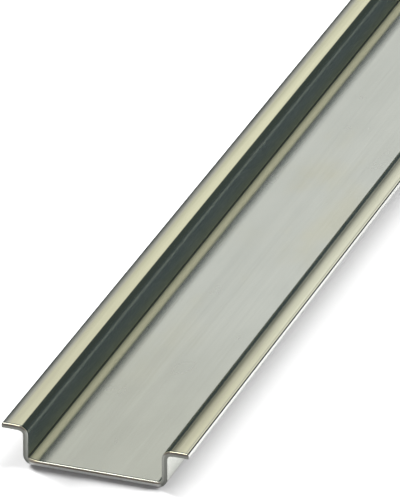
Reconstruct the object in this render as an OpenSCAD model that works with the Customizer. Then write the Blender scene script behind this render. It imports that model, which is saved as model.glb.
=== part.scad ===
// Top-hat mounting rail, 35 x 7.5 mm, unperforated.
// One steel strip, roll formed along its length and cut off square at both ends.
// The rail lies on its web with its open side up: X runs across it, Y along it, Z up.
// The origin is on the underside of the web, halfway along the rail.

/* [Rail] */
// Length of the rail, as cut from stock
rail_l = 500; // [100:1:2000]
// Width over both lips
rail_w = 35; // [32:0.1:40]
// Height from the underside of the web to the top of the lips
rail_h = 7.5; // [6.5:0.1:15]
// Width of the channel over the outer faces of its walls
channel_w = 27; // [20:0.1:28]

/* [Strip] */
// Thickness of the strip
strip_t = 1; // [0.8:0.05:1.5]
// Inner radius of the bends between the web and the walls
foot_bend_r = 0.8; // [0.3:0.1:2]
// Inner radius of the bends between the walls and the lips
lip_bend_r = 0.8; // [0.3:0.1:1.2]
// Rounding of the long slit edges of the strip, at the tips of the lips
slit_edge_r = 0.25; // [0.05:0.05:0.35]
// Width of the break on the edges of both cut ends
cut_break = 0.15; // [0.05:0.05:0.3]

/* [Hidden] */
// Colour of the zinc-plated, passivated strip
zinc = [0.74, 0.74, 0.66];
// Sides of a full circle at the bends and at the slit edges
bend_sides = 96;
edge_sides = 32;
// Inner face of the right-hand wall
wall_x = channel_w / 2 - strip_t;
// Axis of the bend at the foot of the right-hand wall
foot_x = wall_x - foot_bend_r;
foot_z = strip_t + foot_bend_r;
// Axis of the bend at the top of the right-hand wall
lip_x = wall_x + strip_t + lip_bend_r;
lip_z = rail_h - strip_t - lip_bend_r;
// Flat width of one lip, from its bend to its tip
lip_flat = rail_w / 2 - lip_x;

// The strip seen on its long edge: thickness along X, length along Y, end corners broken.
// Every flat and bend is this outline, moved sideways or swung, so the cut ends run on round the section.
module strip_outline() {
    half_l = rail_l / 2;
    quarter = [
        [strip_t / 2, half_l - cut_break],
        [strip_t / 2 - cut_break, half_l]
    ];
    translate([strip_t / 2, 0]) polygon([
        for (p = quarter) p,
        for (i = [1, 0]) [-quarter[i].x, quarter[i].y],
        for (p = quarter) [-p.x, -p.y],
        for (i = [1, 0]) [quarter[i].x, -quarter[i].y]
    ]);
}

// A flat of the strip that lies on the XY plane and reaches the given width along +X
module flat_run(width) {
    translate([0, 0, strip_t]) rotate([0, 90, 0]) linear_extrude(width) strip_outline();
}

// A quarter bend about the Y axis: it starts level with the axis on its +X side and ends below it
module bend(inner_r) {
    rotate([-90, 0, 0]) rotate_extrude(angle = 90, $fn = bend_sides)
        translate([inner_r, 0]) strip_outline();
}

// The web between the two foot bends
module web() {
    translate([-foot_x, 0, 0]) flat_run(2 * foot_x);
}

// One wall between its foot bend and its lip bend
module wall() {
    translate([wall_x + strip_t, 0, foot_z]) rotate([0, -90, 0]) flat_run(lip_z - foot_z);
}

// Section of a lip, from its bend to its rounded slit edge
module lip_section() {
    square([lip_flat - slit_edge_r, strip_t]);
    translate([0, slit_edge_r]) square([lip_flat, strip_t - 2 * slit_edge_r]);
    for (z = [slit_edge_r, strip_t - slit_edge_r])
        translate([lip_flat - slit_edge_r, z]) circle(slit_edge_r, $fn = edge_sides);
}

// One lip, flat to its rounded tip
module lip() {
    translate([lip_x, 0, rail_h - strip_t]) intersection() {
        flat_run(lip_flat);
        rotate([90, 0, 0]) linear_extrude(rail_l, center = true) lip_section();
    }
}

// The side of the rail beyond the web: foot bend, wall, lip bend and lip
module side() {
    translate([foot_x, 0, foot_z]) bend(foot_bend_r);
    wall();
    translate([lip_x, 0, lip_z]) rotate([0, 180, 0]) bend(lip_bend_r);
    lip();
}

module rail() {
    color(zinc) union() {
        web();
        side();
        mirror([1, 0, 0]) side();
    }
}

rail();
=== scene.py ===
# %% [markdown]
# # A top-hat mounting rail
# The object is one piece of stock: a steel strip, zinc plated and passivated, roll formed into a
# hat section. Its web lies on the table, two walls stand up from it, and a lip turns outwards from
# the top of each wall. A control cabinet's devices clip over the two lips.
#
# The rail is made in three steps. A small node tree draws the section and sweeps it along the
# rail. A material gives the plated strip its lines, its film and its wear. A light dome and a
# floor stand in for a plain studio.

import functools
import math

import bmesh
import bpy
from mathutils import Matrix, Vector


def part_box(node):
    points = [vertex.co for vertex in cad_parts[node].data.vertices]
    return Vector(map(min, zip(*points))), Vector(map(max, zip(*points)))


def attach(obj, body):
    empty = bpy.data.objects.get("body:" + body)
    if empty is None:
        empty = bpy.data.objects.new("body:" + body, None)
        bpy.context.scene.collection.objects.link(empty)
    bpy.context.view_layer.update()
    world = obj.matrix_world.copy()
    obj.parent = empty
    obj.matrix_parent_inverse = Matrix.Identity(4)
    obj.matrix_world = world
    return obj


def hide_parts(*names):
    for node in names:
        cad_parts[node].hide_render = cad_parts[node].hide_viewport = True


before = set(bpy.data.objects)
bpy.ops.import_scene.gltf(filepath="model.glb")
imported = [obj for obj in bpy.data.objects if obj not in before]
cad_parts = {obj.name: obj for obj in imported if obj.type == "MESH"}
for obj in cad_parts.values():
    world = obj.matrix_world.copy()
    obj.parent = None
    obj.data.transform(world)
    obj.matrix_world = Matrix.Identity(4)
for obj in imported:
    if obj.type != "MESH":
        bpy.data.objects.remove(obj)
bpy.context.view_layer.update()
rail_low, rail_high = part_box("rail")
MM = 0.001
rail_width = rail_high.x - rail_low.x
rail_length = rail_high.y - rail_low.y
rail_height = rail_high.z - rail_low.z
print(f"{len(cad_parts)} node in the frame")
print(f"rail: {rail_width / MM:.1f} x {rail_length / MM:.0f} x {rail_height / MM:.1f} mm")

# %% [markdown]
# ## Small helpers for node trees
# Every tree below is built in code. These helpers add a node with its settings and values in one
# call, so that each tree reads as a list of what it does. A value may be a plain number, which is
# typed into the socket, or another node's socket, which is joined to it.


# %% Helpers that add nodes
def fill(tree, socket, value):
    """Joins a socket to another node's socket, or sets it to a plain value."""
    if isinstance(value, bpy.types.NodeSocket):
        tree.links.new(value, socket)
    else:
        socket.default_value = value


def add_node(tree, kind, values=None, **settings):
    """Adds one node. `settings` are the node's own options, `values` what its sockets hold."""
    node = tree.nodes.new(kind)
    for name, value in settings.items():
        setattr(node, name, value)
    for name, value in (values or {}).items():
        fill(tree, node.inputs[name], value)
    return node


def new_group(name, kind, sockets):
    """An empty node group with named inputs and outputs: (name, direction, type, default)."""
    tree = bpy.data.node_groups.new(name, kind)
    for label, direction, socket_type, default in sockets:
        socket = tree.interface.new_socket(label, in_out=direction, socket_type=socket_type)
        if default is not None:
            socket.default_value = default
    start = tree.nodes.new("NodeGroupInput")
    end = tree.nodes.new("NodeGroupOutput")
    return tree, start.outputs, end.inputs


print("helpers that add nodes are ready")


# %% Helpers that calculate
def maths(tree, operation, a, b=0.0, c=0.0):
    """One sum on plain numbers or on sockets, and the socket that holds its result."""
    return add_node(tree, "ShaderNodeMath", {0: a, 1: b, 2: c}, operation=operation).outputs[0]


def product(tree, *masks):
    """The place where all the masks overlap: their product."""
    result = masks[0]
    for mask in masks[1:]:
        result = maths(tree, "MULTIPLY", result, mask)
    return result


def ramp(tree, value, start, end, low=0.0, high=1.0):
    """A soft step: `low` up to `start`, `high` past `end`, and a smooth S between them."""
    node = add_node(
        tree,
        "ShaderNodeMapRange",
        {"Value": value, "From Min": start, "From Max": end, "To Min": low, "To Max": high},
        interpolation_type="SMOOTHSTEP",
    )
    return node.outputs["Result"]


print("helpers that calculate are ready")

# %% [markdown]
# ## The section as a rule
# A roll former bends a flat strip, so the section is the same 1 mm strip all the way round. Six
# corners on each side say all of it: two at the foot of the wall, two at the lip's bend and two at
# the lip's tip. Each corner is then rounded by its own radius. The outside of a bend has the
# inside's radius plus the strip's thickness, which keeps both arcs on one centre.
#
# The corners could be typed as a list, but a rule keeps them true when a size changes. The tree
# starts from a closed curve of twelve points, moves each to its corner by its index, rounds them
# with Fillet Curve, and sweeps the outline along the rail with Curve to Mesh.

# %% Sizes of the section
channel_width = 27 * MM
strip_thickness = 1 * MM
bend_radius = 0.8 * MM
slit_edge_radius = 0.25 * MM
corners_per_side = 6
steps_per_bend = 14
print(f"strip {strip_thickness / MM} mm, bends R{bend_radius / MM} inside")


# %% The outline: twelve corners, each rounded
def pick_by_corner(tree, corner, values):
    """The value of one corner out of six, from the foot round the lip's tip to the web."""
    switch = add_node(tree, "GeometryNodeIndexSwitch", data_type="FLOAT")
    while len(switch.index_switch_items) < len(values):
        switch.index_switch_items.new()
    tree.links.new(corner, switch.inputs["Index"])
    for place, value in enumerate(values):
        fill(tree, switch.inputs[place + 1], value)
    return switch.outputs[0]


def draw_outline(tree, given):
    """The section as one closed curve. X runs across the rail, and Y is its height, negative."""
    sums = functools.partial(maths, tree)
    thickness, bend, top = given["Strip Thickness"], given["Bend Radius"], given["Rail Height"]
    tip = sums("DIVIDE", given["Rail Width"], 2.0)
    wall_outside = sums("DIVIDE", given["Channel Width"], 2.0)
    wall_inside = sums("SUBTRACT", wall_outside, thickness)
    lip_under = sums("SUBTRACT", top, thickness)
    outer_bend = sums("ADD", bend, thickness)
    corner_count = 2 * corners_per_side

    index = add_node(tree, "GeometryNodeInputIndex").outputs[0]
    corner = sums("MINIMUM", index, sums("SUBTRACT", corner_count - 1, index))
    on_left = sums("GREATER_THAN", index, corners_per_side - 0.5)
    side = sums("SUBTRACT", 1.0, sums("MULTIPLY", on_left, 2.0))
    across = pick_by_corner(
        tree, corner, [wall_outside, wall_outside, tip, tip, wall_inside, wall_inside]
    )
    up = pick_by_corner(tree, corner, [0.0, lip_under, lip_under, top, top, thickness])
    # The left foot's inside is a tight crease. The other bends keep their own radius.
    tighter = sums("SUBTRACT", given["Foot Crease Radius"], bend)
    foot_inside = sums("ADD", bend, sums("MULTIPLY", tighter, on_left))
    slit_edge = given["Slit Edge Radius"]
    rounding = pick_by_corner(
        tree, corner, [outer_bend, bend, slit_edge, slit_edge, outer_bend, foot_inside]
    )

    # Curve to Mesh lays a profile's Y along -Z when it sweeps along +Y.
    place = add_node(
        tree,
        "ShaderNodeCombineXYZ",
        {"X": sums("MULTIPLY", across, side), "Y": sums("MULTIPLY", up, -1.0)},
    )
    ring = add_node(tree, "GeometryNodeCurvePrimitiveCircle", {"Resolution": corner_count})
    corners = add_node(
        tree, "GeometryNodeSetPosition", {"Geometry": ring.outputs[0], "Position": place.outputs[0]}
    )
    rounded = add_node(
        tree,
        "GeometryNodeFilletCurve",
        {"Curve": corners.outputs[0], "Radius": rounding, "Count": given["Steps Per Bend"]},
        mode="POLY",
    )
    return rounded.outputs[0]


print(f"outline: {2 * corners_per_side} corners, {steps_per_bend} steps in each bend")

# %% [markdown]
# ## What the rolls leave on the flats
# A formed strip isn't quite flat. The last rolls leave each lip a few hundredths of a millimetre
# higher along its middle, and a lip without that crown would mirror one even tone. Inside the
# left foot the bend squeezes the metal, which leaves a tight crease and beside it a low swell
# that catches the light as a bright band.
#
# The outline's flats are cut into short steps first. The steps follow the crown and the swell, and
# they also keep smooth shading flat beside a bend.

# %% Sizes of the crown, the swell and the steps
lip_crown = 0.056 * MM
foot_crease_radius = 0.15 * MM
foot_swell = 0.36 * MM
swell_reach = 1.8 * MM
swell_power = 1.5
step_across = 0.15 * MM
step_along = 20 * MM
print(f"lips crowned by {lip_crown / MM} mm, left foot raised by {foot_swell / MM} mm")


# %% The flats: short steps, crowned lips and the left foot's swell
def cut_into_steps(tree, outline, step):
    """Cuts the stretch from each point of a closed curve to the next into short steps."""
    here = add_node(tree, "GeometryNodeInputPosition").outputs[0]
    index = add_node(tree, "GeometryNodeInputIndex").outputs[0]
    sizes = add_node(tree, "GeometryNodeAttributeDomainSize", {0: outline}, component="CURVE")
    following = maths(
        tree, "MODULO", maths(tree, "ADD", index, 1.0), sizes.outputs["Point Count"]
    )
    ahead = add_node(
        tree,
        "GeometryNodeFieldAtIndex",
        {"Index": following, "Value": here},
        data_type="FLOAT_VECTOR",
    )
    gap = add_node(
        tree, "ShaderNodeVectorMath", {0: here, 1: ahead.outputs[0]}, operation="DISTANCE"
    )
    cuts = maths(tree, "FLOOR", maths(tree, "DIVIDE", gap.outputs["Value"], step))
    stepped = add_node(tree, "GeometryNodeSubdivideCurve", {"Curve": outline, "Cuts": cuts})
    return stepped.outputs[0]


def shape_flats(tree, given, outline):
    """Crowns both lips and raises the web's upper side beside the left foot."""
    sums = functools.partial(maths, tree)
    stepped = cut_into_steps(tree, outline, given["Step Across"])
    position = add_node(tree, "GeometryNodeInputPosition").outputs[0]
    place = add_node(tree, "ShaderNodeSeparateXYZ", {0: position})
    from_middle = sums("ABSOLUTE", place.outputs["X"])
    tip = sums("DIVIDE", given["Rail Width"], 2.0)
    wall_outside = sums("DIVIDE", given["Channel Width"], 2.0)
    wall_inside = sums("SUBTRACT", wall_outside, given["Strip Thickness"])

    # The crown: -1 to 1 across the lip, squared, is how far each point drops below the middle.
    lip_start = sums("ADD", wall_outside, given["Bend Radius"])
    lip_middle = sums("DIVIDE", sums("ADD", lip_start, tip), 2.0)
    lip_half = sums("SUBTRACT", tip, lip_middle)
    offset = sums("DIVIDE", sums("SUBTRACT", from_middle, lip_middle), lip_half)
    offset = sums("MAXIMUM", offset, -1.0)
    half_up = sums("DIVIDE", given["Rail Height"], -2.0)
    on_top = sums("LESS_THAN", place.outputs["Y"], half_up)
    drop = product(tree, offset, offset, given["Lip Crown"], on_top)

    # The swell: nothing at its reach from the wall, and full at the wall.
    from_wall = sums("DIVIDE", sums("SUBTRACT", wall_inside, from_middle), given["Swell Reach"])
    nearness = sums("MAXIMUM", sums("SUBTRACT", 1.0, sums("MAXIMUM", from_wall, 0.0)), 0.0)
    swell = sums("MULTIPLY", sums("POWER", nearness, swell_power), given["Foot Swell"])
    half_strip = sums("DIVIDE", given["Strip Thickness"], -2.0)
    upper_side = sums("LESS_THAN", place.outputs["Y"], half_strip)
    slack = 0.01 * MM
    inside = sums("LESS_THAN", from_middle, sums("ADD", wall_inside, slack))
    low = sums("SUBTRACT", 1.0, on_top)
    left_half = sums("LESS_THAN", place.outputs["X"], 0.0)
    lift = product(tree, swell, upper_side, inside, low, left_half)

    shift = add_node(tree, "ShaderNodeCombineXYZ", {"Y": sums("SUBTRACT", drop, lift)})
    shaped = add_node(
        tree, "GeometryNodeSetPosition", {"Geometry": stepped, "Offset": shift.outputs[0]}
    )
    return shaped.outputs[0]


print(f"flats cut every {step_across / MM} mm across and {step_along / MM:.0f} mm along")


# %% The node tree that draws, shapes and sweeps the section
def build_section_tree():
    sizes = ["Rail Width", "Rail Height", "Rail Length", "Channel Width", "Strip Thickness"]
    sizes += ["Bend Radius", "Foot Crease Radius", "Slit Edge Radius", "Lip Crown"]
    sizes += ["Foot Swell", "Swell Reach", "Step Across", "Step Along"]
    sockets = [("Geometry", "OUTPUT", "NodeSocketGeometry", None)]
    sockets += [(size, "INPUT", "NodeSocketFloat", 0.0) for size in sizes]
    sockets += [("Steps Per Bend", "INPUT", "NodeSocketInt", steps_per_bend)]
    sockets += [("Material", "INPUT", "NodeSocketMaterial", None)]
    tree, given, result = new_group("Roll Formed Rail", "GeometryNodeTree", sockets)
    tree.is_modifier = True
    section = shape_flats(tree, given, draw_outline(tree, given))

    half_length = maths(tree, "DIVIDE", given["Rail Length"], 2.0)
    near = add_node(
        tree, "ShaderNodeCombineXYZ", {"Y": maths(tree, "MULTIPLY", half_length, -1.0)}
    )
    far = add_node(tree, "ShaderNodeCombineXYZ", {"Y": half_length})
    line = add_node(
        tree, "GeometryNodeCurvePrimitiveLine", {"Start": near.outputs[0], "End": far.outputs[0]}
    )
    path = add_node(
        tree,
        "GeometryNodeResampleCurve",
        {"Curve": line.outputs[0], "Length": given["Step Along"]},
        mode="LENGTH",
    )
    swept = add_node(
        tree,
        "GeometryNodeCurveToMesh",
        {"Curve": path.outputs[0], "Profile Curve": section, "Fill Caps": True},
    )
    solid = add_node(tree, "GeometryNodeRealizeInstances", {0: swept.outputs[0]})
    finished = add_node(
        tree,
        "GeometryNodeSetMaterial",
        {"Geometry": solid.outputs[0], "Material": given["Material"]},
    )
    tree.links.new(finished.outputs[0], result["Geometry"])
    return tree


section_tree = build_section_tree()
print(f"section tree: {len(section_tree.nodes)} nodes")

# %% [markdown]
# ## The plated strip's finish
# The strip is cold-rolled steel with a thin coat of zinc and a clear passivation film. It mirrors
# softly. The rolls leave fine lines along the strip, the film shifts the grey towards yellow in
# faint long blotches, and handling dulls it here and there.
#
# Each effect is a node group of its own, with its sizes as inputs, so that it can be tried alone.
# The groups read Object coordinates, which stay with the piece when the camera moves.


# %% Node group: rolling lines
def long_noise(tree, given, scale, detail, roughness):
    """Noise squeezed along Y by the group's Stretch: the smaller it is, the longer the marks."""
    squeeze = add_node(tree, "ShaderNodeCombineXYZ", {"X": 1.0, "Y": given["Stretch"], "Z": 1.0})
    place = add_node(
        tree,
        "ShaderNodeVectorMath",
        {0: given["Vector"], 1: squeeze.outputs[0]},
        operation="MULTIPLY",
    )
    noise = add_node(
        tree,
        "ShaderNodeTexNoise",
        {"Vector": place.outputs[0], "Scale": scale, "Detail": detail, "Roughness": roughness},
        noise_dimensions="3D",
    )
    return noise.outputs["Fac"]


def build_rolling_lines():
    tree, given, result = new_group(
        "Rolling Lines",
        "ShaderNodeTree",
        [
            ("Vector", "INPUT", "NodeSocketVector", None),
            ("Lines Per Metre", "INPUT", "NodeSocketFloat", 6000.0),
            ("Stretch", "INPUT", "NodeSocketFloat", 0.004),
            ("Lines", "OUTPUT", "NodeSocketFloat", None),
        ],
    )
    noise = long_noise(tree, given, given["Lines Per Metre"], detail=3.0, roughness=0.6)
    tree.links.new(noise, result["Lines"])
    return tree


rolling_lines = build_rolling_lines()
print(f"{rolling_lines.name}: {len(rolling_lines.nodes)} nodes")


# %% Node group: cloudy patches
def build_patches():
    """`Low` and `High` are the noise levels where a patch starts and where it is full."""
    tree, given, result = new_group(
        "Long Patches",
        "ShaderNodeTree",
        [
            ("Vector", "INPUT", "NodeSocketVector", None),
            ("Patches Per Metre", "INPUT", "NodeSocketFloat", 60.0),
            ("Stretch", "INPUT", "NodeSocketFloat", 0.3),
            ("Low", "INPUT", "NodeSocketFloat", 0.35),
            ("High", "INPUT", "NodeSocketFloat", 0.65),
            ("Mask", "OUTPUT", "NodeSocketFloat", None),
        ],
    )
    noise = long_noise(tree, given, given["Patches Per Metre"], detail=4.0, roughness=0.55)
    tree.links.new(ramp(tree, noise, given["Low"], given["High"]), result["Mask"])
    return tree


long_patches = build_patches()
print(f"{long_patches.name}: {len(long_patches.nodes)} nodes")

# %% [markdown]
# ## Telling the strip's two sides apart
# Wear and the cut's bands follow the strip round its bends, so the material has to know how deep
# a point lies in the strip. Distance from a bend's axis says it: a bend's inside lies one bend
# radius from the axis and its outside one strip thickness further. On a flat the same distance is
# measured straight, because only the sides beyond the axis count. The lower half of the section
# is measured from the foot's axis and the upper half from the lip's.


# %% Node group: how deep a point lies in the strip
def distance_beyond(tree, across, up):
    """How far a point lies beyond an axis, counting only the sides where it is beyond it."""
    pair = add_node(
        tree,
        "ShaderNodeCombineXYZ",
        {"X": maths(tree, "MAXIMUM", across, 0.0), "Y": maths(tree, "MAXIMUM", up, 0.0)},
    )
    length = add_node(tree, "ShaderNodeVectorMath", {0: pair.outputs[0]}, operation="LENGTH")
    return length.outputs["Value"]


def build_strip_depth():
    """0 on the side that is the web's top, the wall's inside and the lip's top, 1 on the other."""
    tree, given, result = new_group(
        "Depth In Strip",
        "ShaderNodeTree",
        [
            ("Vector", "INPUT", "NodeSocketVector", None),
            ("Channel Width", "INPUT", "NodeSocketFloat", channel_width),
            ("Rail Height", "INPUT", "NodeSocketFloat", rail_height),
            ("Strip Thickness", "INPUT", "NodeSocketFloat", strip_thickness),
            ("Bend Radius", "INPUT", "NodeSocketFloat", bend_radius),
            ("Depth", "OUTPUT", "NodeSocketFloat", None),
        ],
    )
    sums = functools.partial(maths, tree)
    place = add_node(tree, "ShaderNodeSeparateXYZ", {0: given["Vector"]})
    across = sums("ABSOLUTE", place.outputs["X"])
    up = place.outputs["Z"]
    thickness, bend = given["Strip Thickness"], given["Bend Radius"]
    outer_bend = sums("ADD", thickness, bend)
    wall_outside = sums("DIVIDE", given["Channel Width"], 2.0)
    foot_axis = sums("SUBTRACT", wall_outside, outer_bend)
    lip_axis = sums("ADD", wall_outside, bend)
    lip_axis_up = sums("SUBTRACT", given["Rail Height"], outer_bend)
    from_foot = distance_beyond(
        tree, sums("SUBTRACT", across, foot_axis), sums("SUBTRACT", outer_bend, up)
    )
    from_lip = distance_beyond(
        tree, sums("SUBTRACT", lip_axis, across), sums("SUBTRACT", up, lip_axis_up)
    )
    foot_depth = sums("DIVIDE", sums("SUBTRACT", from_foot, bend), thickness)
    lip_depth = sums("DIVIDE", sums("SUBTRACT", outer_bend, from_lip), thickness)
    upper = sums("GREATER_THAN", up, sums("DIVIDE", given["Rail Height"], 2.0))
    change = sums("MULTIPLY", sums("SUBTRACT", lip_depth, foot_depth), upper)
    tree.links.new(sums("ADD", foot_depth, change), result["Depth"])
    return tree


strip_depth = build_strip_depth()
print(f"{strip_depth.name}: {len(strip_depth.nodes)} nodes")

# %% [markdown]
# ## Tones and where they lie
# Bare metal takes all its colour from what it mirrors and from the film on top, so each tone below
# is the share of red, green and blue light that the metal gives back. The film is thinner on the
# web than on the lips, which makes the lips a warmer cream. Tones are laid one over the other like
# coats of paint: each has a mask that says where it covers the last one.

# %% Tones of the finish
tones = {
    "grey film": (0.790, 0.815, 0.740),
    "yellow film": (0.800, 0.790, 0.620),
    "web near the ends": (0.700, 0.715, 0.620),
    # Painted shade: the walls' inside darker and bluer than the film.
    "wall inside in painted shade": (0.62, 0.67, 0.64),
    # Painted reflection: the walls' outside lighter, as if mirroring the bright table.
    "wall outside with painted reflection": (0.86, 0.88, 0.82),
    # Painted contact shade: the foot bend's outside nearly black just above the table.
    "foot bend in painted contact shade": (0.16, 0.16, 0.16),
    "left lip": (0.690, 0.680, 0.475),
    "right lip": (0.740, 0.740, 0.575),
    "lips near the ends": (0.66, 0.645, 0.46),
    "left lip edge": (0.700, 0.700, 0.600),
    "lip tip": (0.76, 0.765, 0.73),
    # Painted highlight: the rubbed band lighter and yellower than the film.
    "rubbed foot with painted highlight": (0.92, 0.89, 0.60),
    # Painted shade: a dark line just inside the right lip's edge.
    "painted shade line by right lip edge": (0.48, 0.48, 0.38),
    # Painted shade: the crease and the wall's foot inside the left bend darker.
    "crease": (0.24, 0.25, 0.21),
    # The lip tips' lower half: bare duller steel, painted darker as well, partly painted shade.
    "slit edge": (0.26, 0.26, 0.24),
    # Partly dulled metal and partly painted shade: the upper side just short of the break.
    "rolled edge in painted shade": (0.30, 0.31, 0.27),
    # Painted shade: the walls' and lips' smooth band and the lips' torn band darker than the web's.
    "torn web": (0.26, 0.23, 0.19),
    "torn wall": (0.235, 0.240, 0.220),
    "torn lip in painted shade": (0.10, 0.085, 0.075),
    "smooth web": (0.80, 0.80, 0.78),
    "smooth wall in painted shade": (0.155, 0.16, 0.145),
}


def tone(name):
    return (*tones[name], 1.0)


print(f"{len(tones)} tones")


# %% Helpers that mix tones
def mix_colours(tree, first, second, amount):
    """`first` where the amount is 0 and `second` where it is 1."""
    node = add_node(tree, "ShaderNodeMix", {0: amount, 6: first, 7: second}, data_type="RGBA")
    return node.outputs[2]


def mix_numbers(tree, first, second, amount):
    node = add_node(tree, "ShaderNodeMix", {0: amount, 2: first, 3: second}, data_type="FLOAT")
    return node.outputs[0]


def group(tree, of, values):
    """Places a node group with its own values, and gives its one result."""
    return add_node(tree, "ShaderNodeGroup", values, node_tree=of).outputs[0]


def lay_over(tree, colour, layers):
    """Lays tones over a colour, in order: (tone's name, mask)."""
    for name, mask in layers:
        colour = mix_colours(tree, colour, tone(name), mask)
    return colour


print("helpers that mix tones are ready")


# %% Where a point lies on the rail
def read_places(tree):
    """Sockets for a point's place: across, along and up the rail, and its depth in the strip."""
    here = add_node(tree, "ShaderNodeTexCoord").outputs["Object"]
    parts = add_node(tree, "ShaderNodeSeparateXYZ", {0: here})
    at = {"here": here, "right": parts.outputs["X"], "height": parts.outputs["Z"]}
    at["left"] = maths(tree, "MULTIPLY", at["right"], -1.0)
    at["across"] = maths(tree, "ABSOLUTE", at["right"])
    at["along"] = maths(tree, "ABSOLUTE", parts.outputs["Y"])
    at["depth"] = group(tree, strip_depth, {"Vector": here})
    at["on lips"] = ramp(tree, at["height"], rail_height - 1.3 * MM, rail_height - 0.5 * MM)
    return at


half_length = rail_length / 2
lip_edge = rail_width / 2
wall_face = channel_width / 2 - strip_thickness
print(f"lips end {lip_edge / MM:.1f} mm and walls start {wall_face / MM:.1f} mm from the middle")


# %% The film on the web, the walls and the lips
def web_and_wall_colour(tree, at, near_ends):
    patches = {"Patches Per Metre": 60.0, "Stretch": 0.45, "Low": 0.48, "High": 0.70}
    film = group(tree, long_patches, {"Vector": at["here"], **patches})
    most_yellow = 0.60
    yellowed = maths(tree, "MULTIPLY", film, most_yellow)
    on_inside = ramp(tree, at["depth"], 0.4, 0.2)
    on_outside = ramp(tree, at["depth"], 0.8, 0.9)
    # Painted shade: the walls' inside darker and bluer than the film.
    wall_inside = product(tree, ramp(tree, at["height"], 1.7 * MM, 2.2 * MM), on_inside)
    # Painted reflection: the walls' outside lighter, as if mirroring the bright table.
    wall_outside = product(tree, ramp(tree, at["height"], 1.0 * MM, 1.6 * MM), on_outside)
    # Painted contact shade: the foot bend's outside nearly black just above the table.
    foot_bend_shade = product(tree, ramp(tree, at["height"], 1.35 * MM, 1.05 * MM), on_outside)
    layers = [
        ("yellow film", yellowed),
        ("web near the ends", near_ends),
        ("wall inside in painted shade", wall_inside),
        ("wall outside with painted reflection", wall_outside),
        ("foot bend in painted contact shade", foot_bend_shade),
    ]
    return lay_over(tree, tone("grey film"), layers)


def lip_colour(tree, at, near_ends):
    from_left = ramp(tree, at["right"], -10 * MM, 10 * MM)
    left_edge = ramp(tree, at["left"], lip_edge - 1.9 * MM, lip_edge - 0.7 * MM)
    layers = [
        ("right lip", from_left),
        ("lips near the ends", near_ends),
        ("left lip edge", left_edge),
    ]
    return lay_over(tree, tone("left lip"), layers)


def film_colour(tree, at):
    """The film's colour all over the strip, before any wear."""
    near_ends = ramp(tree, at["along"], half_length - 80 * MM, half_length - 10 * MM)
    web = web_and_wall_colour(tree, at, near_ends)
    lips = lip_colour(tree, at, near_ends)
    whole = mix_colours(tree, web, lips, at["on lips"])
    lip_tip = ramp(tree, at["across"], lip_edge - 0.14 * MM, lip_edge - 0.08 * MM)
    return lay_over(tree, whole, [("lip tip", lip_tip)])


print("the film's colours are ready")


# %% The lines that the rolls leave
def with_rolling_lines(tree, at, colour, fine):
    """Makes a colour lighter and darker along fine lines and broad ones, stronger on the lips."""
    broad_sizes = {"Lines Per Metre": 650.0, "Stretch": 0.012}
    broad = group(tree, rolling_lines, {"Vector": at["here"], **broad_sizes})
    middle = 0.5
    fine_amount = 0.10
    broad_amount = mix_numbers(tree, 0.10, 0.34, at["on lips"])
    fine_tone = product(tree, maths(tree, "SUBTRACT", fine, middle), fine_amount)
    broad_tone = product(tree, maths(tree, "SUBTRACT", broad, middle), broad_amount)
    level = maths(tree, "ADD", maths(tree, "ADD", fine_tone, 1.0), broad_tone)
    toned = add_node(
        tree, "ShaderNodeVectorMath", {0: colour, "Scale": level}, operation="SCALE"
    )
    return toned.outputs[0]


print("rolling lines are ready")

# %% [markdown]
# ## Wear and painted light at the bends, and the cut ends
# The former's edge rubs the inside of the left foot bend and the web beside it, which leaves a
# duller band. That band is also painted lighter and yellower, a painted highlight, and the crease
# is painted darker, a painted shade. The lip tips, where the strip was slit, are duller than its
# faces, and their lower half is painted darker, partly bare steel and partly painted shade. A dark
# line just inside the right lip's edge is painted shade.
#
# A cut end shows bare steel in two bands. The blade first pushes the upper edge over, and the
# upper side just short of the break is painted darker, partly dulled metal and partly painted
# shade. Then the blade tears the steel, which leaves a dark band. The rest is smeared smooth and
# lighter. The smooth band on the walls and lips, and the torn band on the lips, are painted darker
# than on the web, a painted shade. The bands follow the strip's depth, so they run on round the
# bends.


# %% Wear, painted highlight and painted shade at the foot and the lip tips
def wear_and_shade_masks(tree, at):
    """Masks of wear and of painted highlight and shade, named by tone, in the order laid."""
    return {
        # Duller where rubbed, and painted lighter and yellower: a painted highlight.
        "rubbed foot with painted highlight": product(
            tree,
            ramp(tree, at["left"], wall_face - 2.3 * MM, wall_face - 1.5 * MM),
            ramp(tree, at["height"], 1.6 * MM, 1.3 * MM),
            ramp(tree, at["depth"], 0.15, 0.05),
        ),
        # Painted shade: a dark line just inside the right lip's edge.
        "painted shade line by right lip edge": product(
            tree,
            ramp(tree, at["right"], lip_edge - 0.64 * MM, lip_edge - 0.58 * MM),
            ramp(tree, at["right"], lip_edge - 0.40 * MM, lip_edge - 0.46 * MM),
            at["on lips"],
        ),
        # Painted shade: the crease and the wall's foot inside the left bend darker.
        "crease": product(
            tree,
            ramp(tree, at["left"], wall_face - 0.25 * MM, wall_face - 0.12 * MM),
            ramp(tree, at["height"], 1.80 * MM, 1.60 * MM),
        ),
        # The lip tips' lower half: bare duller steel, painted darker as well, partly painted shade.
        "slit edge": product(
            tree,
            ramp(tree, at["across"], lip_edge - 0.28 * MM, lip_edge - 0.20 * MM),
            ramp(tree, at["height"], rail_height - 0.22 * MM, rail_height - 0.14 * MM),
        ),
    }


print("wear is ready")


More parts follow.
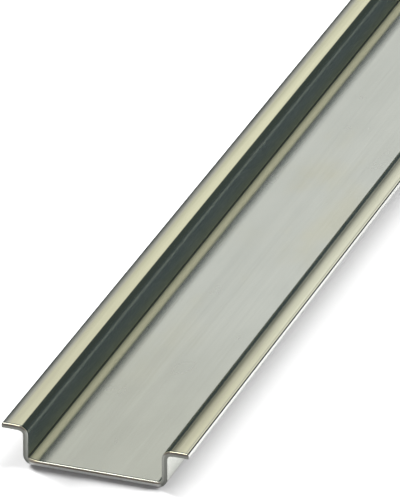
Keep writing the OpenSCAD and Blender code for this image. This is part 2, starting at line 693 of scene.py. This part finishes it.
# %% The bands of a cut end
def cut_masks(tree, at):
    """The darker strip before the upper break, partly painted shade, and where bare steel shows."""
    # Painted darker, partly dulled metal and partly painted shade.
    rolled_edge_shade = product(
        tree,
        ramp(tree, at["along"], half_length - 0.50 * MM, half_length - 0.36 * MM),
        ramp(tree, at["along"], half_length - 0.14 * MM, half_length - 0.20 * MM),
        ramp(tree, at["depth"], 0.10, 0.05),
    )
    face = ramp(tree, at["along"], half_length - 0.04 * MM, half_length - 0.02 * MM)
    outer_break = product(
        tree,
        ramp(tree, at["along"], half_length - 0.24 * MM, half_length - 0.20 * MM),
        ramp(tree, at["depth"], 0.25, 0.35),
    )
    return rolled_edge_shade, maths(tree, "MAXIMUM", face, outer_break)


def cut_colour(tree, at):
    """The torn band's colour and below it the smooth band's, each by web, wall and lip."""
    on_web = ramp(tree, at["across"], wall_face + 0.1 * MM, wall_face - 0.7 * MM)
    # Painted shade: the walls' and lips' smooth band and the lips' torn band darker than the web's.
    smooth = lay_over(tree, tone("smooth wall in painted shade"), [("smooth web", on_web)])
    torn = lay_over(tree, tone("torn wall"), [("torn web", on_web), ("torn lip in painted shade", at["on lips"])])
    return mix_colours(tree, torn, smooth, ramp(tree, at["depth"], 0.40, 0.55))


print("the cut's bands are ready")


# %% The zinc-plated steel material
def surface_roughness(tree, at, rubbed, cut):
    """Slightly uneven on the faces, smoother on the lips, duller where rubbed and on the cut."""
    patches = {"Patches Per Metre": 130.0, "Stretch": 0.5, "Low": 0.35, "High": 0.75}
    dull = group(tree, long_patches, {"Vector": at["here"], **patches})
    uneven = 0.04
    plain = mix_numbers(tree, 0.24, 0.12, at["on lips"])
    roughness = maths(tree, "MULTIPLY_ADD", dull, uneven, plain)
    roughness = mix_numbers(tree, roughness, 0.31, rubbed)
    return mix_numbers(tree, roughness, 0.50, cut)


def build_plated_steel():
    material = bpy.data.materials.new("zinc_plated_steel")
    material.use_nodes = True
    tree = material.node_tree
    tree.nodes.clear()
    at = read_places(tree)
    fine_sizes = {"Lines Per Metre": 2200.0, "Stretch": 0.006}
    fine = group(tree, rolling_lines, {"Vector": at["here"], **fine_sizes})
    wear = wear_and_shade_masks(tree, at)
    rolled_edge_shade, cut = cut_masks(tree, at)

    colour = with_rolling_lines(tree, at, film_colour(tree, at), fine)
    colour = lay_over(tree, colour, [*wear.items(), ("rolled edge in painted shade", rolled_edge_shade)])
    colour = mix_colours(tree, colour, cut_colour(tree, at), cut)
    relief_depth = 0.01 * MM
    relief = add_node(
        tree, "ShaderNodeBump", {"Height": fine, "Strength": 0.10, "Distance": relief_depth}
    )
    shader = add_node(
        tree,
        "ShaderNodeBsdfPrincipled",
        {
            "Base Color": colour,
            "Metallic": 1.0,
            "Roughness": surface_roughness(tree, at, wear["rubbed foot with painted highlight"], cut),
            "Normal": relief.outputs[0],
        },
    )
    output = add_node(tree, "ShaderNodeOutputMaterial")
    tree.links.new(shader.outputs[0], output.inputs["Surface"])
    return material


plated_steel = build_plated_steel()
print(f"{plated_steel.name}: {len(plated_steel.node_tree.nodes)} nodes")

# %% [markdown]
# ## Making the rail
# The section's tree goes on an empty mesh as a modifier. Its inputs are set by the sockets'
# identifiers. The evaluated result is kept as a plain mesh, with its normals pointing outwards
# and its bends shaded smooth.
#
# A Bevel modifier then breaks the sharp edges at both cut ends. Its angle limit passes over the
# bends, whose facets meet at a few degrees. Harden Normals keeps the flats beside the break shaded
# flat, so that the break itself turns quickly and shows a thin bright line.

# %% Sizes of the cut's break
cut_edge_break = 0.24 * MM
cut_edge_angle = math.radians(60)
cut_edge_segments = 3
print(f"cut edges broken by {cut_edge_break / MM} mm")


# %% Sweep the rail and keep the result as a plain mesh
def make_rail():
    seed = bpy.data.objects.new("rail_tree", bpy.data.meshes.new("rail_tree"))
    bpy.context.scene.collection.objects.link(seed)
    sweep = seed.modifiers.new("Sweep", "NODES")
    sweep.node_group = section_tree
    inputs = {
        "Rail Width": rail_width,
        "Rail Height": rail_height,
        "Rail Length": rail_length,
        "Channel Width": channel_width,
        "Strip Thickness": strip_thickness,
        "Bend Radius": bend_radius,
        "Foot Crease Radius": foot_crease_radius,
        "Slit Edge Radius": slit_edge_radius,
        "Lip Crown": lip_crown,
        "Foot Swell": foot_swell,
        "Swell Reach": swell_reach,
        "Step Across": step_across,
        "Step Along": step_along,
        "Steps Per Bend": steps_per_bend,
        "Material": plated_steel,
    }
    for item in section_tree.interface.items_tree:
        if item.in_out == "INPUT":
            sweep[item.identifier] = inputs[item.name]
    evaluated = seed.evaluated_get(bpy.context.evaluated_depsgraph_get())
    rail = bpy.data.objects.new("rail_strip", bpy.data.meshes.new_from_object(evaluated))
    bpy.context.scene.collection.objects.link(rail)
    bpy.data.objects.remove(seed)
    return rail


def face_outwards(piece):
    """Turns every face of a closed mesh outwards and shades it smooth up to 30 degrees."""
    work = bmesh.new()
    work.from_mesh(piece.data)
    bmesh.ops.remove_doubles(work, verts=work.verts, dist=0.001 * MM)
    bmesh.ops.recalc_face_normals(work, faces=work.faces)
    open_edges = sum(1 for edge in work.edges if len(edge.link_faces) != 2)
    volume = work.calc_volume() / MM**3
    print(f"{piece.name}: {len(work.faces)} faces, {open_edges} open edges, {volume:.0f} mm3")
    work.to_mesh(piece.data)
    work.free()
    piece.data.shade_smooth()
    piece.data.set_sharp_from_angle(angle=math.radians(30))


def break_cut_edges(piece):
    """Breaks the sharp edges at both cut ends and keeps the flats beside them shaded flat."""
    breaks = piece.modifiers.new("Cut edges", "BEVEL")
    breaks.limit_method = "ANGLE"
    breaks.angle_limit = cut_edge_angle
    breaks.width = cut_edge_break
    breaks.segments = cut_edge_segments
    breaks.harden_normals = True


rail = make_rail()
face_outwards(rail)
break_cut_edges(rail)
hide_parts("rail")
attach(rail, "root")

# %% [markdown]
# ## The table
# The rail lies on a table that looks white. A white table under lights of its own would be
# overlit, and then the shadows beside the rail come out too weak. So the table is a dark grey, and
# strong suns bring it up to white. Where the rail shades it, its own dark grey shows.


# %% The table's top
def make_floor(radius, grey):
    material = bpy.data.materials.new("white_table")
    material.use_nodes = True
    shader = material.node_tree.nodes["Principled BSDF"]
    shader.inputs["Base Color"].default_value = (grey, grey, grey, 1.0)
    shader.inputs["Roughness"].default_value = 0.9
    shader.inputs["Specular IOR Level"].default_value = 0.0
    mesh = bpy.data.meshes.new("table_top")
    corners = [(-radius, -radius, 0), (radius, -radius, 0), (radius, radius, 0)]
    corners.append((-radius, radius, 0))
    mesh.from_pydata(corners, [], [(0, 1, 2, 3)])
    floor = bpy.data.objects.new("table_top", mesh)
    floor.data.materials.append(material)
    bpy.context.scene.collection.objects.link(floor)
    return floor


floor = make_floor(radius=60, grey=0.15)
print(f"floor: {floor.dimensions.x:.0f} m square")

# %% [markdown]
# ## The light
# A dome of soft light goes round everything, and the rail's faces mirror parts of it. A bright
# strip of the dome runs along the rail, overhead and a little to its left, and lights the web and
# the lips. The rest is dimmer, which is what gives bare metal its dark walls. From where the camera
# stands, a small and much brighter patch shows up only in the breaks at the near end, as a thin
# light line. To the camera itself the dome is plain white.
#
# Three low suns light the table alone, by light linking, so that they leave no glint on the metal.
# They stand behind the rail and to both sides of it. Each is very wide, and their shadows add up
# to one soft shadow in front of the rail and along its right side.


# %% The light dome
def level_of_dome(tree, direction):
    """How bright the dome is in each direction. X is to the rail's right, Y to its far end."""
    parts = add_node(tree, "ShaderNodeSeparateXYZ", {0: direction})
    x, y, z = parts.outputs["X"], parts.outputs["Y"], parts.outputs["Z"]
    # The angle round the rail's own axis: 0 to the right, 90 overhead, 180 to the left.
    around = maths(tree, "MULTIPLY", maths(tree, "ARCTAN2", z, x), 180 / math.pi)
    strip = product(
        tree,
        ramp(tree, around, 86, 94, 0.0, 0.98),
        ramp(tree, around, 126.5, 130.5, 1.0, 0.0),
        ramp(tree, around, 115, 136, 1.0, 0.55),
        ramp(tree, z, 0.85, 0.70),
    )
    near_side = ramp(tree, y, 0.25, -0.05, 0.0, 0.65)
    left_back = product(tree, ramp(tree, y, 0.74, 0.62, 0.0, 0.60), ramp(tree, x, -0.35, -0.50))
    right_back = ramp(tree, x, 0.65, 0.85, 0.0, 0.60)
    bright_patch = product(
        tree,
        ramp(tree, z, 0.62, 0.75, 0.0, 6.5),
        ramp(tree, y, 0.1, -0.15),
        ramp(tree, x, -0.55, -0.42),
        ramp(tree, x, -0.05, -0.18),
    )
    level = strip
    for area in (near_side, left_back, right_back, bright_patch):
        level = maths(tree, "MAXIMUM", level, area)
    return level


def build_dome():
    world = bpy.data.worlds.new("studio_dome")
    bpy.context.scene.world = world
    world.use_nodes = True
    tree = world.node_tree
    tree.nodes.clear()
    direction = add_node(tree, "ShaderNodeTexCoord").outputs["Generated"]
    level = level_of_dome(tree, direction)
    white = (1.0, 1.0, 1.0)
    colour = add_node(
        tree, "ShaderNodeVectorMath", {0: white, "Scale": level}, operation="SCALE"
    )
    dimmest = (0.055, 0.072, 0.086)
    floored = add_node(
        tree, "ShaderNodeVectorMath", {0: colour.outputs[0], 1: dimmest}, operation="MAXIMUM"
    )
    mirrored = add_node(
        tree, "ShaderNodeBackground", {"Color": floored.outputs[0], "Strength": 1.0}
    )
    plain = add_node(tree, "ShaderNodeBackground", {"Color": (*white, 1.0), "Strength": 1.0})
    seen = add_node(tree, "ShaderNodeLightPath").outputs["Is Camera Ray"]
    choice = add_node(
        tree, "ShaderNodeMixShader", {0: seen, 1: mirrored.outputs[0], 2: plain.outputs[0]}
    )
    output = add_node(tree, "ShaderNodeOutputWorld")
    tree.links.new(choice.outputs[0], output.inputs["Surface"])
    return world


world = build_dome()
bpy.context.scene.view_settings.view_transform = "Standard"
print(f"{world.name}: {len(world.node_tree.nodes)} nodes")


# %% The suns for the table alone
def light_table(floor, suns, rise, spread):
    """Low suns that light only the floor: (name, bearing from the rail's far end, strength)."""
    lit = bpy.data.collections.new("lit_by_table_suns")
    lit.objects.link(floor)
    for name, bearing, strength in suns:
        data = bpy.data.lights.new(name, "SUN")
        data.energy = strength
        data.angle = math.radians(spread)
        turn, climb = math.radians(bearing), math.radians(rise)
        towards_sun = Vector(
            (math.sin(turn) * math.cos(climb), math.cos(turn) * math.cos(climb), math.sin(climb))
        )
        sun = bpy.data.objects.new(name, data)
        sun.rotation_euler = towards_sun.to_track_quat("Z", "Y").to_euler()
        bpy.context.scene.collection.objects.link(sun)
        sun.light_linking.receiver_collection = lit


table_suns = [("sun_far", 6, 48.0), ("sun_right", 52, 24.0), ("sun_left", -52, 50.0)]
light_table(floor, table_suns, rise=17, spread=24)
print(f"{len(table_suns)} suns light the floor")

# %% [markdown]
# ## The camera
# The camera looks along the rail from in front of its near end, a little from the right and from
# above. A long lens keeps the rail's two edges almost parallel. The near end stands at the bottom
# of the picture, and the rail runs out of it at the top.


# %% The camera
def make_camera(place, azimuth, elevation, lens):
    data = bpy.data.cameras.new("camera")
    data.lens = lens
    data.sensor_width = 36
    data.clip_start = 0.05
    data.clip_end = 200
    camera = bpy.data.objects.new("camera", data)
    camera.location = place
    turn, rise = math.radians(azimuth), math.radians(elevation)
    forward = Vector(
        (
            -math.sin(turn) * math.cos(rise),
            math.cos(turn) * math.cos(rise),
            -math.sin(rise),
        )
    )
    camera.rotation_euler = forward.to_track_quat("-Z", "Y").to_euler()
    bpy.context.scene.collection.objects.link(camera)
    bpy.context.scene.camera = camera
    return camera


near_end = Vector((0.0, rail_low.y, 0.0))
from_near_end = Vector((0.45237, -1.18694, 0.68394))
camera = make_camera(near_end + from_near_end, azimuth=20.03, elevation=26.74, lens=587.1)
print(f"camera {from_near_end.length:.3f} m from the near end")
